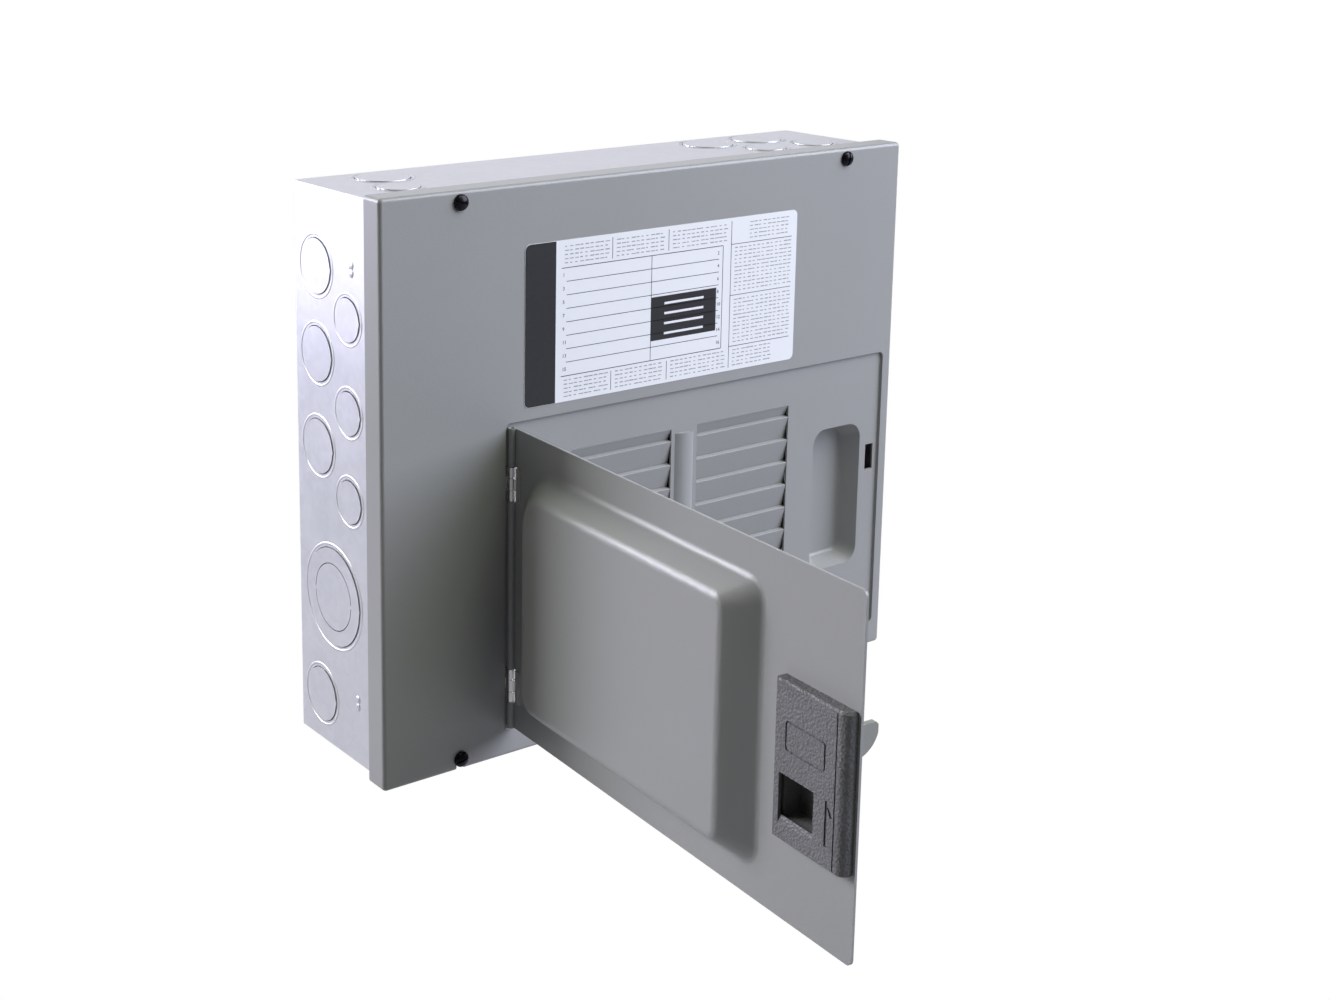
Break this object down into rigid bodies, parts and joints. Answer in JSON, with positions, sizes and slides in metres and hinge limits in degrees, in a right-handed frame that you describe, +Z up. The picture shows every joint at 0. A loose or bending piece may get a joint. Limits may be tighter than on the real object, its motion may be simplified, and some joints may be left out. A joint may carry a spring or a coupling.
{
  "type": "residential load center",
  "caption": "Galvanised breaker panel box with a main-lug interior and a screwed grey cover, whose hinged door opens on louvred twist-outs and closes with a sliding latch.",
  "frame": {"origin": "centre of the box's back face, against the wall", "axes": "+X right seen from the front, the front faces -Y, +Z up"},
  "size_m": [0.334, 0.3368, 0.289],
  "materials": {
    "galvanised": "galvanised sheet steel, softly mottled",
    "cover_paint": "satin grey powder coat",
    "twistout_paint": "satin grey powder coat",
    "door_paint": "satin grey powder coat",
    "interior_plastic": "black moulded thermoset",
    "bus": "tin-plated aluminium",
    "rail": "zinc-plated steel",
    "lug": "extruded aluminium",
    "neutral": "extruded aluminium",
    "insulator": "moulded black plastic",
    "screw_steel": "zinc-plated steel",
    "black_screw": "black oxide",
    "bonding_green": "green plated steel",
    "label": "printed paper label",
    "hinge_zinc": "bright zinc-plated steel",
    "bezel_plastic": "dark grey textured plastic",
    "retainer_plastic": "dark grey plastic",
    "slider_plastic": "near-black plastic",
    "hook_plastic": "light grey plastic",
    "spring_steel": "spring wire"
  },
  "bodies": {
    "enclosure": {"left_wall": "galvanised", "right_wall": "galvanised", "back_wall": "galvanised", "top_end_wall": "galvanised", "bottom_end_wall": "galvanised", "left_knockouts": "galvanised", "right_knockouts": "galvanised", "top_knockouts": "galvanised", "bottom_knockouts": "galvanised", "interior_base": "interior_plastic", "bus_bar_left": "bus", "bus_bar_right": "bus", "breaker_rail_left": "rail", "breaker_rail_right": "rail", "main_lugs": "lug", "main_lug_screws": "screw_steel", "bus_screws": "screw_steel", "neutral_bar_left": "neutral", "neutral_bar_right": "neutral", "neutral_strap": "neutral", "neutral_screws": "screw_steel", "neutral_lug": "lug", "neutral_lug_screw": "screw_steel", "neutral_insulators": "insulator", "bonding_screw": "bonding_green", "interior_mount_screws": "screw_steel"},
    "cover": {"cover": "cover_paint", "left_twistouts": "twistout_paint", "right_twistouts": "twistout_paint", "cover_screws": "black_screw", "directory_label": "label", "upper_hinge_leaf": "hinge_zinc", "lower_hinge_leaf": "hinge_zinc", "upper_hinge_pin": "hinge_zinc", "lower_hinge_pin": "hinge_zinc"},
    "door": {"door_panel": "door_paint", "upper_hinge_clip": "hinge_zinc", "lower_hinge_clip": "hinge_zinc", "latch_bezel": "bezel_plastic", "latch_retainer": "retainer_plastic", "latch_spring": "spring_steel"},
    "latch": {"latch_slider": "slider_plastic", "latch_hook": "hook_plastic"}
  },
  "joints": [
    {"name": "cover_removal", "type": "slide", "parent": "enclosure", "child": "cover", "axis": [0, -1, 0], "range_m": [0, 0.15]},
    {"name": "door_hinge", "type": "hinge", "parent": "cover", "child": "door", "pos_m": [-0.093, -0.0866, -0.0547], "axis": [0, 0, -1], "range_deg": [-93.8, 26.2]},
    {"name": "latch_slide", "type": "slide", "parent": "door", "child": "latch", "axis": [0, 0, 1], "range_m": [0, 0.005], "stiffness_N_per_m": 300, "springref_m": -0.004, "deforming": ["latch_spring"]}
  ]
}
